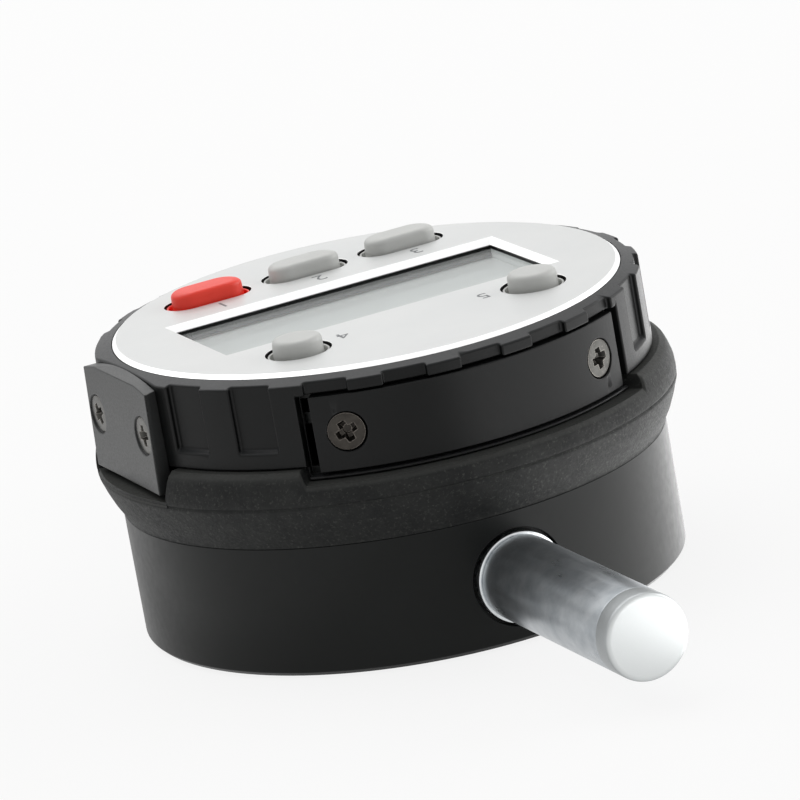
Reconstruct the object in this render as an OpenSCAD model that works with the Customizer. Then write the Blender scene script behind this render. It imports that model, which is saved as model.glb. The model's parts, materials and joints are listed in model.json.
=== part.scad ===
// Digital dial indicator with a turning display head and 12.7 mm of travel.
// The origin is the centre of the flat back. +Z points out of the display,
// +Y towards the dust cap and -Y towards the contact point.

/* [Rear case] */
// Diameter of the rear case
case_d = 59.1; // [58.8:0.1:64]
// Depth of the rear case, from its back to the turning joint
case_depth = 14.1; // [14:0.1:16]
// Wall thickness of the rear case
case_wall = 2.2; // [2:0.1:2.4]
// Thickness of the back cover
back_t = 2; // [1.6:0.1:2.2]

/* [Spindle and stem] */
// Diameter of the clamping stem
stem_d = 8; // [8:0.1:9.5]
// Length of the stem outside the case
stem_len = 17.5; // [16:0.5:22]
// Diameter of the spindle
spindle_d = 4.5; // [4:0.1:4.8]
// Measuring travel of the spindle
travel = 12.7; // [10:0.1:12.7]
// Diameter of the contact ball
ball_d = 3; // [2:0.1:3.2]

/* [Dust cap] */
// Diameter of the dust cap
cap_d = 9.18; // [8.9:0.02:10.4]
// Length of the dust cap outside the case
cap_len = 29.9; // [29:0.1:34]

/* [Display head] */
// Height of the head, from the turning joint to the rim of the face
head_depth = 17.9; // [17.6:0.1:20]
// Depth of the grip flutes
flute_depth = 0.6; // [0.3:0.05:0.8]
// Number of grip flutes that would fill the whole rim
flute_count = 22; // [22:1:24]
// How far the rubber collar stands out past the case
collar_bulge = 2; // [1:0.1:2.6]
// Angle the head turns to each side
head_turn = 135; // [90:5:135]

/* [Face] */
// Width of the display window at the face
window_w = 39.1; // [34:0.1:39.4]
// Height of the display window at the face
window_h = 17.2; // [14:0.1:17.4]
// Thickness of the face plate
plate_t = 0.8; // [0.8:0.05:1.2]
// How far the buttons stand above the face
button_rise = 1.6; // [1:0.1:2.4]
// Diameter of the two round buttons
round_button_d = 5.4; // [4.6:0.1:5.6]
// Length of the three long buttons
long_button_l = 8.3; // [7:0.1:8.5]
// Width of the three long buttons
long_button_w = 4; // [3.2:0.1:4.2]
// Distance that a button travels
button_travel = 0.4; // [0.2:0.05:0.4]

/* [Hidden] */
$fn = 96;
eps = 0.01;
fit = 0.03;
seat = 0.05;

case_r = case_d / 2;
cavity_r = case_r - case_wall;
deck_t = 1.7;
deck_under = case_depth - deck_t;
spindle_z = (back_t + deck_under) / 2 - 0.23;
spindle_r = spindle_d / 2;
boss_y = cavity_r - 5.8;
boss_half = 6.6;
post_r = 2.4;
post_at = cavity_r - 3.1;

// The upper end of the case, with its bush and cap
cap_r = cap_d / 2;
cap_bore = cap_r - 1.2;
cap_shank_r = spindle_r + 1.2;
cap_pocket_y = case_r - 1.4;
cap_ring_r = cap_r + 0.3;
cap_hole_r = cap_ring_r + 0.36;
cap_ring_y = case_r + 0.35;
cap_end_y = case_r + cap_len;
cap_joint_y = cap_end_y - 2.6;
neck_len = 5;

// The lower end of the case, with its stem
stem_r = stem_d / 2;
stem_bore = spindle_r + 0.6;
stem_foot_r = stem_r + 0.2;
stem_foot_y = -case_r - 0.25;
stem_end_y = -case_r - stem_len;
bush_len = 8;
spindle_low_y = stem_end_y - travel - 2;
point_len = 7;
ball_r = ball_d / 2;
thread_r = 1.25;
thread_len = 5;

// The moving scale, in the room between the spindle and the deck
scale_room = deck_under - spindle_z - spindle_r;
strip_z = spindle_z + spindle_r + 0.09 * scale_room;
strip_t = 0.19 * scale_room;
strip_w = 10;
reader_z = strip_z + 0.28 * scale_room;
reader_t = 0.38 * scale_room;
reader_x0 = -6.8;
reader_x1 = post_at * cos(45) - post_r - 0.75;
reader_half = cavity_r - 8.35;
reader_screw_x = reader_x1 - 4;
reader_screw_y = reader_half - 3;
spacer_r = 2;
carrier_w = 12;
carrier_y0 = -18;
carrier_y1 = 4;
carrier_z0 = spindle_z - 3.7;
pin_r = 0.8;
pin_hole = 3.2;
pin_y = -7;
rail_x = -10.4;
rail_w = 3.2;
rail_y0 = -14;
rail_y1 = 12;
rail_z0 = spindle_z - 2.4;
rail_screws = [rail_y0 + 2, rail_y1 - 2];
spring_y0 = carrier_y1 + 0.1;
spring_y1 = boss_y - 0.1;
wire_r = 0.25;
spring_r = spindle_r + 0.3 + wire_r;
spring_turns = 7;

// The turning joint
head_r = case_r - 0.05;
spigot_r = case_r - 4.05;
spigot_in = case_r - 6.65;
spigot_h = 4.4;
skirt_r = case_r - 1.15;
head_bore = case_r - 2.25;
flange_z = case_depth + 0.1;
flange_top = case_depth + spigot_h - 0.1;
ring_t = 1.2;
ring_top = case_depth + spigot_h + ring_t;
stop_r = case_r - 2.55;
stop_pin_r = 0.75;
stop_groove = 0.9;

// Heights in the head, measured down from the rim of the face
rim_z = case_depth + head_depth;
plate_z = rim_z - 0.4;
face_z = plate_z + plate_t;
wall_t = 1.2;
wall_under = plate_z - wall_t;
board_t = 1.2;
board_top = wall_under - 2.6;
board_z = board_top - board_t;
shoulder_z = case_depth + 8.55;
plate_r = case_r - 2.05;
board_r = head_bore - 0.7;

// The display window
window_y = -0.9;
bevel = 0.55;
bevel_depth = plate_t - 0.07;
lens_w = window_w - 2 * bevel;
lens_h = window_h - 2 * bevel;
lens_t = 1;
lens_z = plate_z - 0.35 - lens_t;
lcd_edge = 0.8;
frame_wall = 0.8;

// The covers on the side of the head
cover_mid = 36.5;
recess_mid = 39.2;
nail_slot = 1.1;
cover_t = 1.55;
cover_z0 = case_depth + 7.85;
cover_z1 = rim_z - 1.9;
cover_screw_z = (cover_z0 + cover_z1) / 2 + 0.05;
cover_screw_a = 29.7;
recess_r = head_r - cover_t - seat;
recess_z0 = cover_z0 - 0.35;
recess_z1 = cover_z1 + 0.2;
data_flat = head_r - 1.25;
data_half = 8.8;
data_z0 = case_depth + 5.9;
data_z1 = rim_z - 0.15;
data_screw_y = 6.4;
data_screw_z = cover_screw_z;
cover_boss_r = 1.9;
board_post_r = 1.9;
screw_r = 1;
screw_head_r = 2.1;

// The battery in its tray
cell_r = 10;
cell_t = 3.2;
cell_y = case_r - 18.95;
tray_floor = 0.5;
cell_z = board_z - 0.55 - cell_t;
tray_z = cell_z - seat - tray_floor;
tray_half = cell_r + 0.9;
tray_y1 = cell_y + cell_r + 0.2;

// The flutes and the rubber collar
flute_pitch = 360 / flute_count;
flute_w = 9;
flute_z = case_depth + 10.3;
data_clear_a = 17;
collar_z0 = case_depth + 0.2;
collar_z1 = shoulder_z - seat;
collar_step_z = recess_z0 - 0.45;

// The buttons
flange_t = 0.9;
button_flange_z = wall_under - 0.1 - flange_t;
button_top = face_z + button_rise;
button_gap = 0.85;
round_x = 13.7;
round_y = 13.5;
long_x = 11.6;
long_y = -16.5;
switch_h = 0.7;
plunger_end = board_top + switch_h + button_travel + 0.05;

function board_spots() = [for (x = [-1, 1], y = [-1, 1]) [x * (case_r - 8.85), y * 12.9]];
function post_spots() = [for (a = [45 : 90 : 315]) [post_at * cos(a), post_at * sin(a)]];
function ring_spots() = [for (a = [0 : 90 : 270]) (spigot_r + spigot_in) / 2 * [cos(a), sin(a)]];
function flute_angles() = [
    for (k = [0 : flute_count - 1])
        let (a = (90 + k * flute_pitch) % 360)
        if (a > data_clear_a && a < 360 - 1.8 * data_clear_a) a
];

// A cylinder from y0 to y1 about the axis of the spindle
module along_y(r, y0, y1) {
    translate([0, y0, spindle_z]) rotate([-90, 0, 0]) cylinder(r = r, h = y1 - y0);
}

// A body turned about the axis of the spindle from points of radius and y
module turned_y(points) {
    translate([0, 0, spindle_z]) rotate([-90, 0, 0]) rotate_extrude() polygon(points);
}

// Part of a ring about +Z, from a section of radius and height
module arc_of(middle, half) {
    rotate([0, 0, middle - half]) rotate_extrude(angle = 2 * half) children();
}

// A rectangle in radius and height for a ring
module section(r0, r1, z0, z1) {
    translate([r0, z0]) square([r1 - r0, z1 - z0]);
}

// A block centred in x and y
module block(w, l, z0, z1) {
    translate([-w / 2, -l / 2, z0]) cube([w, l, z1 - z0]);
}

// A bar with round ends, from z0 to z1
module obround(l, w, z0, z1) {
    block(l - w, w, z0, z1);
    for (s = [-1, 1]) translate([s * (l - w) / 2, 0, z0]) cylinder(d = w, h = z1 - z0);
}

// Points of half a button, from the axis out, with a rounded top edge
function button_half(r, z0, z1, round = 0.7) = concat(
    [[0, z0], [r, z0]],
    [for (a = [0 : 15 : 90]) [r - round + round * cos(a), z1 - round + round * sin(a)]],
    [[0, z1]]
);

// A countersunk screw along -Z whose head is flush with z = 0
module flat_screw(head_r, len) {
    head_h = head_r - screw_r;
    difference() {
        union() {
            translate([0, 0, -head_h]) cylinder(r1 = screw_r, r2 = head_r, h = head_h);
            translate([0, 0, -len]) cylinder(r = screw_r, h = len - head_h + eps);
        }
        for (a = [0, 90]) rotate([0, 0, a]) block(0.6, 1.3 * head_r, -0.7, 1);
    }
}

// The hole that a countersunk screw goes through
module flat_hole(head_r, depth) {
    head_h = head_r - screw_r;
    translate([0, 0, -head_h - fit]) cylinder(r1 = screw_r + fit, r2 = head_r + fit, h = head_h);
    translate([0, 0, -fit - eps]) cylinder(r = head_r + fit, h = 1);
    translate([0, 0, -depth]) cylinder(r = screw_r + fit, h = depth);
}

// A cheese-head screw along -Z whose head stands on z = 0
module pan_screw(head_h, len) {
    difference() {
        union() {
            cylinder(r = 1.7, h = head_h);
            translate([0, 0, -len]) cylinder(r = screw_r, h = len + eps);
        }
        for (a = [0, 90]) rotate([0, 0, a]) block(0.5, 2, head_h - 0.5, head_h + 1);
    }
}

// Places its children at both screws of the battery cover, outwards
module at_battery_screws(r) {
    for (s = [-1, 1]) rotate([0, 0, 90 + s * cover_screw_a]) translate([r, 0, cover_screw_z])
        rotate([0, 90, 0]) children();
}

// Places its children at both screws of the data cover, outwards
module at_data_screws(x) {
    for (s = [-1, 1]) translate([x, s * data_screw_y, data_screw_z])
        rotate([0, 90, 0]) children();
}

// Places its children at both screws of the reader board
module at_reader_screws(z) {
    for (s = [-1, 1]) translate([reader_screw_x, s * reader_screw_y, z]) children();
}

// Places its children at the round buttons, then at the long ones
module at_round_buttons() {
    for (s = [-1, 1]) translate([s * round_x, round_y, 0]) children();
}

module at_long_buttons() {
    for (k = [-1 : 1]) translate([k * long_x, long_y, 0]) children();
}

module rear_case() {
    color("#26272a") difference() {
        union() {
            rotate_extrude() polygon([
                [cavity_r, back_t], [cavity_r + 0.7, back_t], [cavity_r + 0.7, 0],
                [case_r - 0.5, 0], [case_r, 0.5], [case_r, case_depth],
                [spigot_r, case_depth], [spigot_r, case_depth + spigot_h],
                [spigot_in, case_depth + spigot_h], [spigot_in, case_depth],
                [6, case_depth], [6, deck_under], [cavity_r, deck_under]
            ]);
            for (s = [-1, 1]) intersection() {
                translate([-boss_half, s > 0 ? boss_y : -case_r, back_t + seat])
                    cube([2 * boss_half, case_r - boss_y, deck_under - back_t]);
                translate([0, 0, back_t]) cylinder(r = cavity_r + eps, h = case_depth - back_t);
            }
            for (p = post_spots()) translate([p.x, p.y, back_t + seat])
                cylinder(r = post_r, h = deck_under - back_t);
        }
        along_y(stem_foot_r, -case_r - 1, -boss_y + eps);
        along_y(cap_shank_r, boss_y - eps, case_r + 1);
        along_y(cap_hole_r, cap_pocket_y, case_r + 1);
        for (p = post_spots()) translate([p.x, p.y, 0]) cylinder(r = screw_r + fit, h = 8);
        for (p = ring_spots()) translate([p.x, p.y, case_depth + 0.6])
            cylinder(r = screw_r + fit, h = spigot_h);
        translate([0, -stop_r, deck_under + 0.4]) cylinder(r = stop_pin_r + fit, h = deck_t);
        for (y = rail_screws) translate([rail_x + rail_w / 2, y, deck_under - 1])
            cylinder(r = screw_r + fit, h = 2.2);
        at_reader_screws(deck_under - 1) cylinder(r = screw_r + fit, h = 2.2);
    }
}

module back_cover() {
    color("#2b2c2f") difference() {
        rotate_extrude() section(0, cavity_r + 0.6, 0, back_t);
        for (p = post_spots()) translate([p.x, p.y, 0]) rotate([180, 0, 0])
            flat_hole(screw_head_r, back_t + 1);
    }
}

module back_screws() {
    color("#8b8d90") for (p = post_spots()) translate([p.x, p.y, 0]) rotate([180, 0, 0])
        flat_screw(screw_head_r, 7);
}

module stem() {
    color("#c9ccd0") turned_y([
        [stem_bore, stem_end_y], [stem_r - 0.4, stem_end_y], [stem_r, stem_end_y + 0.4],
        [stem_r, stem_foot_y], [stem_foot_r, stem_foot_y], [stem_foot_r, -boss_y],
        [stem_bore, -boss_y]
    ]);
}

module stem_bush() {
    color("#b9943f") turned_y([
        [spindle_r + fit, stem_end_y + 0.2], [stem_bore, stem_end_y + 0.2],
        [stem_bore, stem_end_y + bush_len], [spindle_r + fit, stem_end_y + bush_len]
    ]);
}

module cap_bush() {
    color("#dfe2e5") turned_y([
        [spindle_r + fit, boss_y], [cap_shank_r, boss_y], [cap_shank_r, cap_pocket_y],
        [cap_ring_r, cap_pocket_y], [cap_ring_r, cap_ring_y - 0.2], [cap_ring_r - 0.2, cap_ring_y],
        [cap_bore - fit, cap_ring_y], [cap_bore - fit, cap_ring_y + neck_len],
        [spindle_r + fit, cap_ring_y + neck_len]
    ]);
}

module dust_cap() {
    color("#b4b8bc") turned_y([
        [cap_bore, cap_ring_y + seat], [cap_r, cap_ring_y + seat], [cap_r, cap_joint_y],
        [cap_bore, cap_joint_y]
    ]);
}

module cap_end() {
    color("#c6cacd") turned_y([
        [0, cap_joint_y - 1.2], [cap_bore - fit, cap_joint_y - 1.2], [cap_bore - fit, cap_joint_y],
        [cap_r, cap_joint_y], [cap_r, cap_end_y - 0.4], [cap_r - 0.12, cap_end_y - 0.12],
        [cap_r - 0.4, cap_end_y], [0, cap_end_y]
    ]);
}

module guide_rail() {
    color("#d9c9a0") difference() {
        translate([rail_x, rail_y0, rail_z0]) cube([rail_w, rail_y1 - rail_y0, deck_under - rail_z0]);
        translate([rail_x + 1, pin_y, spindle_z - pin_r - fit])
            cube([rail_w, travel, 2 * (pin_r + fit)]);
        for (y = [pin_y, pin_y + travel]) translate([rail_x + 1, y, spindle_z]) rotate([0, 90, 0])
            cylinder(r = pin_r + fit, h = rail_w);
        for (y = rail_screws) translate([rail_x + rail_w / 2, y, 0])
            cylinder(r = screw_r + fit, h = case_depth);
    }
}

module guide_screws() {
    color("#8b8d90") for (y = rail_screws) translate([rail_x + rail_w / 2, y, rail_z0])
        rotate([180, 0, 0]) pan_screw(1.2, deck_under - rail_z0 + 0.9);
}

module reader_board() {
    color("#1f6b45") difference() {
        translate([reader_x0, -reader_half, reader_z])
            cube([reader_x1 - reader_x0, 2 * reader_half, reader_t]);
        at_reader_screws(0) cylinder(r = screw_r + fit, h = case_depth);
    }
}

module reader_screws() {
    color("#8b8d90") {
        at_reader_screws(reader_z) rotate([180, 0, 0]) pan_screw(1.1, deck_under - reader_z + 0.9);
        at_reader_screws(reader_z + reader_t) difference() {
            cylinder(r = spacer_r, h = deck_under - reader_z - reader_t);
            translate([0, 0, -1]) cylinder(r = screw_r + fit, h = 4);
        }
    }
}

module swivel_ring() {
    color("#a9acaf") difference() {
        rotate_extrude() section(spigot_in, spigot_r + 1.5, case_depth + spigot_h, ring_top);
        for (p = ring_spots()) translate([p.x, p.y, case_depth])
            cylinder(r = screw_r + fit, h = 10);
    }
}

module ring_screws() {
    color("#8b8d90") for (p = ring_spots()) translate([p.x, p.y, ring_top]) pan_screw(1, 4.6);
}

module stop_pin() {
    color("#c9ccd0") translate([0, -stop_r, deck_under + 0.4])
        cylinder(r = stop_pin_r, h = deck_t - 0.4 + 0.8);
}

module return_spring() {
    steps = 14;
    sides = 6;
    count = spring_turns * steps;
    rise = (spring_y1 - spring_y0 - 2 * wire_r) / count;
    points = [
        for (i = [0 : count], k = [0 : sides - 1])
            let (t = 360 * i / steps, a = 360 * k / sides, r = spring_r + wire_r * cos(a))
            [r * cos(t), spring_y0 + wire_r + i * rise + wire_r * sin(a), spindle_z + r * sin(t)]
    ];
    skin = [
        for (i = [0 : count - 1], k = [0 : sides - 1])
            let (p = i * sides + k, q = i * sides + (k + 1) % sides)
            each [[p, q, p + sides], [q, q + sides, p + sides]]
    ];
    start = [for (k = [1 : sides - 2]) [0, k + 1, k]];
    last = count * sides;
    end = [for (k = [1 : sides - 2]) [last, last + k, last + k + 1]];
    color("#9a9da0") polyhedron(points = points, faces = concat(skin, start, end));
}

module spindle() {
    top_y = cap_joint_y - 1.2 - travel - 1.5;
    color("#d3d6d9") difference() {
        turned_y([
            [0, spindle_low_y], [spindle_r - 0.3, spindle_low_y], [spindle_r, spindle_low_y + 0.3],
            [spindle_r, top_y - 0.4], [spindle_r - 0.4, top_y], [0, top_y]
        ]);
        along_y(thread_r, spindle_low_y - 1, spindle_low_y + thread_len);
    }
}

module contact_point() {
    tip_y = spindle_low_y - point_len;
    color("#9fa2a6") difference() {
        turned_y([
            [0, tip_y + ball_r * 0.6], [ball_r * 0.85, tip_y + ball_r * 0.6],
            [spindle_r, spindle_low_y - 3.6], [spindle_r, spindle_low_y - seat],
            [thread_r - fit, spindle_low_y - seat], [thread_r - fit, spindle_low_y + thread_len - 1],
            [0, spindle_low_y + thread_len - 1]
        ]);
        translate([0, tip_y, spindle_z]) sphere(r = ball_r + 0.02);
    }
}

module contact_ball() {
    color("#e4e6e8") translate([0, spindle_low_y - point_len, spindle_z]) sphere(r = ball_r);
}

module scale_carrier() {
    color("#5d6064") difference() {
        translate([-carrier_w / 2, carrier_y0, carrier_z0])
            cube([carrier_w, carrier_y1 - carrier_y0, strip_z - carrier_z0]);
        along_y(spindle_r, carrier_y0 - 1, carrier_y1 + 1);
        translate([-carrier_w / 2 - 1, pin_y, spindle_z]) rotate([0, 90, 0])
            cylinder(r = pin_r, h = pin_hole);
    }
}

module scale_strip() {
    color("#3c7fa8") translate([-strip_w / 2, carrier_y0 + 0.5, strip_z])
        cube([strip_w, carrier_y1 - carrier_y0 - 1, strip_t]);
}

module guide_pin() {
    color("#c9ccd0") translate([rail_x + 1.3, pin_y, spindle_z]) rotate([0, 90, 0])
        cylinder(r = pin_r, h = pin_hole - 1.1 - carrier_w / 2 - rail_x - 1.3);
}

// The turned body of the head, before its openings are cut
module head_body() {
    rotate_extrude() polygon([
        [spigot_r + 0.1, flange_z], [skirt_r, flange_z], [skirt_r, shoulder_z],
        [head_r, shoulder_z], [head_r, rim_z - 0.5], [plate_r + 0.1, rim_z],
        [plate_r + 0.1, plate_z], [0, plate_z], [0, wall_under], [head_bore, wall_under],
        [head_bore, flange_top], [spigot_r + 0.1, flange_top]
    ]);
    arc_of(90, recess_mid) section(skirt_r - 1, head_r - 0.1, recess_z0 - 0.4, shoulder_z);
    for (p = board_spots()) translate([p.x, p.y, board_top])
        cylinder(r = board_post_r, h = wall_under - board_top + eps);
    intersection() {
        union() {
            at_battery_screws(head_bore - 3) cylinder(r = cover_boss_r, h = 4);
            at_data_screws(head_bore - 3.6) cylinder(r = cover_boss_r, h = 4.5);
        }
        cylinder(r = head_r, h = rim_z);
    }
}

module head_case() {
    flute = [
        [head_r - flute_depth, flute_z + 0.4], [head_r, flute_z], [head_r + 1, flute_z],
        [head_r + 1, rim_z + 1], [head_r - flute_depth, rim_z + 1]
    ];
    color("#232427") difference() {
        head_body();
        for (a = flute_angles()) arc_of(a, flute_w / 2) polygon(flute);
        arc_of(90, recess_mid) section(recess_r, head_r + 1, recess_z0, recess_z1);
        for (s = [-1, 1]) arc_of(90 + s * (recess_mid - nail_slot - 0.15), nail_slot)
            section(head_bore - 1, head_r - 0.5, cover_z0 + 0.4, cover_z1 - 0.4);
        translate([data_flat, -data_half - 3, data_z0 - 0.6]) cube([5, 2 * data_half + 6, 20]);
        translate([-tray_half + 0.5, 15, tray_z + tray_floor])
            cube([2 * tray_half - 1, 20, board_z - tray_z - tray_floor]);
        translate([15, -5, data_screw_z - 2.6]) cube([20, 10, 5]);
        at_battery_screws(recess_r - 4) cylinder(r = screw_r + fit, h = 6);
        at_data_screws(data_flat - 4) cylinder(r = screw_r + fit, h = 6);
        translate([0, window_y, 0]) block(lens_w + 2 * seat, lens_h + 2 * seat, wall_under - 1, face_z);
        at_round_buttons() translate([0, 0, wall_under - 1])
            cylinder(d = round_button_d + 1.2, h = wall_t + 2);
        at_long_buttons() obround(long_button_l + 1, long_button_w + 0.7, wall_under - 1, face_z);
        arc_of(-90, head_turn + 3) section(
            stop_r - stop_groove, stop_r + stop_groove, flange_z - 1, case_depth + 1.4);
        for (p = board_spots()) translate([p.x, p.y, board_top - 1]) cylinder(r = screw_r + fit, h = 3);
    }
}

module seal_collar() {
    // Share of the bulge at heights counted from the bottom of the collar
    bulge = [[0, 0.02], [0.4, 0.12], [1.5, 0.42], [2.9, 0.72], [4.4, 0.98], [5.3, 1],
        [6.2, 0.95], [7.4, 0.76], [8.1, 0.58]];
    outer = [for (b = bulge) [case_r + b[1] * collar_bulge, collar_z0 + b[0]]];
    color("#2e2f30") difference() {
        rotate_extrude() polygon(concat(
            [[skirt_r, collar_z0]], outer,
            [[case_r + 0.3 * collar_bulge, collar_z1], [skirt_r, collar_z1]]
        ));
        arc_of(90, recess_mid + 0.6) section(skirt_r - 1, case_r + 5, collar_step_z, case_depth + 12);
        translate([data_flat - 2, 0, data_z0 - 0.7]) rotate([90, 0, 90]) linear_extrude(height = 8)
            polygon([[-data_half - 0.4, 0], [data_half + 0.4, 0], [data_half + 1.4, 8],
                [-data_half - 1.4, 8]]);
    }
}

module face_plate() {
    color("#e6e7e6") difference() {
        rotate_extrude() polygon([
            [0, plate_z], [plate_r, plate_z], [plate_r, face_z - 0.4], [plate_r - 0.44, face_z],
            [0, face_z]
        ]);
        translate([0, window_y, 0]) hull() {
            block(lens_w, lens_h, face_z - bevel_depth, face_z);
            block(window_w, window_h, face_z, face_z + eps);
        }
        translate([0, window_y, 0]) block(lens_w, lens_h, plate_z - 1, face_z);
        at_round_buttons() translate([0, 0, plate_z - 1])
            cylinder(d = round_button_d + 2 * button_gap, h = plate_t + 2);
        at_long_buttons() obround(long_button_l + 2 * button_gap, long_button_w + 1,
            plate_z - 1, face_z + 1);
    }
}

module lcd_lens() {
    color([0.9, 0.94, 0.94, 0.4]) translate([0, window_y, 0])
        block(lens_w, lens_h, lens_z, lens_z + lens_t);
}

module lcd_panel() {
    color("#c6c9c4") translate([0, window_y, 0])
        block(lens_w + 2 * lcd_edge, lens_h + 2 * lcd_edge, board_top + 0.3, lens_z - seat);
}

module lcd_frame() {
    inner_w = lens_w + 2 * lcd_edge + 2 * seat;
    inner_h = lens_h + 2 * lcd_edge + 2 * seat;
    color("#e9e9e4") translate([0, window_y, 0]) difference() {
        block(inner_w + 2 * frame_wall, inner_h + 2 * frame_wall, board_top, wall_under);
        block(inner_w, inner_h, board_top + 0.25, wall_under + 1);
        block(inner_w - 3, inner_h - 3, board_top - 1, wall_under);
    }
}

module main_board() {
    color("#1f6b45") difference() {
        translate([0, 0, board_z]) cylinder(r = board_r, h = board_t);
        translate([data_flat - 5.6, -data_half, 0]) cube([20, 2 * data_half, 60]);
        at_battery_screws(head_bore - 3.5) cylinder(r = cover_boss_r + 0.4, h = 12);
        for (p = board_spots()) translate([p.x, p.y, 0]) cylinder(r = screw_r + fit, h = 60);
    }
}

module board_screws() {
    color("#8b8d90") for (p = board_spots()) translate([p.x, p.y, board_z]) rotate([180, 0, 0])
        pan_screw(1, board_t + 1.8);
}

module switches() {
    color("#3a3b3d") {
        at_round_buttons() block(4.4, 4.4, board_top, board_top + switch_h);
        at_long_buttons() block(4.4, 4.4, board_top, board_top + switch_h);
    }
}

module battery_tray() {
    color("#3b3c3f") difference() {
        translate([-tray_half, 0, tray_z]) cube([2 * tray_half, tray_y1, board_z - tray_z]);
        translate([0, cell_y, cell_z - seat]) cylinder(r = cell_r + 0.2, h = 8);
        translate([-cell_r - 0.2, cell_y, cell_z - seat]) cube([2 * cell_r + 0.4, 20, 8]);
    }
}

module coin_cell() {
    color("#cfd2d4") translate([0, cell_y, cell_z]) {
        cylinder(r = cell_r, h = cell_t - 0.3);
        cylinder(r = cell_r - 0.6, h = cell_t);
    }
}

module battery_contact() {
    color("#c9b26a") translate([0, cell_y, 0]) block(5, 14, cell_z + cell_t + 0.1, board_z);
}

module battery_cover() {
    color("#2a2b2e") difference() {
        arc_of(90, cover_mid) section(head_r - cover_t, head_r, cover_z0, cover_z1);
        at_battery_screws(head_r - 0.35) flat_hole(screw_head_r, 4);
    }
}

module battery_screws() {
    color("#4a4240") at_battery_screws(head_r - 0.35) flat_screw(screw_head_r, 4);
}

module data_cover() {
    lean = 0.43;
    arch_r = 42;
    back = data_flat + seat;
    color("#3a3b3d") difference() {
        intersection() {
            translate([0, data_half, 0]) rotate([90, 0, 0]) linear_extrude(height = 2 * data_half)
                polygon([[back, data_z0], [back + 1.35 + lean, data_z0],
                    [back + 1.35, data_z1 - 0.4], [back, data_z1]]);
            translate([0, 0, data_z1 - arch_r]) rotate([0, 90, 0])
                cylinder(r = arch_r, h = case_d, $fn = 180);
            linear_extrude(height = rim_z) polygon([
                [back, -data_half + 0.4], [back + 1.3, -data_half], [back + 3, -data_half],
                [back + 3, data_half], [back + 1.3, data_half], [back, data_half - 0.4]]);
        }
        at_data_screws(back + 1.35) flat_hole(screw_head_r, 4);
    }
}

module data_screws() {
    color("#77787a") at_data_screws(data_flat + seat + 1.35) flat_screw(screw_head_r, 4.2);
}

module data_socket() {
    color("#1c1c1e") difference() {
        translate([data_flat - 9.5, -4.3, data_screw_z - 2.3])
            cube([8, 8.6, board_z - data_screw_z + 2.3]);
        translate([data_flat - 6, -3.5, data_screw_z - 1.7])
            cube([6, 7, board_z - data_screw_z + 1.2]);
    }
}

// A long button standing at its place in the row
module long_button(k) {
    translate([k * long_x, long_y, 0]) {
        for (s = [-1, 1]) translate([s * (long_button_l - long_button_w) / 2, 0, 0])
            rotate_extrude() polygon(button_half(long_button_w / 2, button_flange_z, button_top));
        translate([-(long_button_l - long_button_w) / 2, 0, 0]) rotate([90, 0, 90])
            linear_extrude(height = long_button_l - long_button_w)
                for (m = [0, 1]) mirror([m, 0])
                    polygon(button_half(long_button_w / 2, button_flange_z, button_top));
        obround(long_button_l + 2, long_button_w + 1.5, button_flange_z, button_flange_z + flange_t);
        translate([0, 0, plunger_end]) cylinder(r = 1.2, h = button_flange_z - plunger_end + eps);
    }
}

// A round button standing at its place on one side
module round_button(side) {
    translate([side * round_x, round_y, 0]) {
        rotate_extrude() polygon(button_half(round_button_d / 2, button_flange_z, button_top));
        translate([0, 0, button_flange_z]) cylinder(d = round_button_d + 2, h = flange_t);
        translate([0, 0, plunger_end]) cylinder(r = 1.2, h = button_flange_z - plunger_end + eps);
    }
}

module power_button() { color("#d8332c") long_button(1); }
module mode_button() { color("#b4b5b1") long_button(0); }
module unit_button() { color("#b4b5b1") long_button(-1); }
module zero_button() { color("#b4b5b1") round_button(1); }
module tolerance_button() { color("#b4b5b1") round_button(-1); }

rear_case();
back_cover();
back_screws();
stem();
stem_bush();
cap_bush();
dust_cap();
cap_end();
guide_rail();
guide_screws();
reader_board();
reader_screws();
swivel_ring();
ring_screws();
stop_pin();
return_spring();
spindle();
contact_point();
contact_ball();
scale_carrier();
scale_strip();
guide_pin();
head_case();
seal_collar();
face_plate();
lcd_lens();
lcd_panel();
lcd_frame();
main_board();
board_screws();
switches();
battery_tray();
coin_cell();
battery_contact();
battery_cover();
battery_screws();
data_cover();
data_screws();
data_socket();
power_button();
mode_button();
unit_button();
zero_button();
tolerance_button();
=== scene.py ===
"""Looks of a digital dial indicator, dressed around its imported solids.

The sizes in the classes are millimetres in the part's own frame: the back
lies on z = 0, the display looks along +Z and the dust cap points along +Y.
"""

import json
import logging
import math
from dataclasses import dataclass, field
from enum import Enum
from typing import Any

import bmesh
import bpy
import numpy as np
from mathutils import Matrix, Vector

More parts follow.
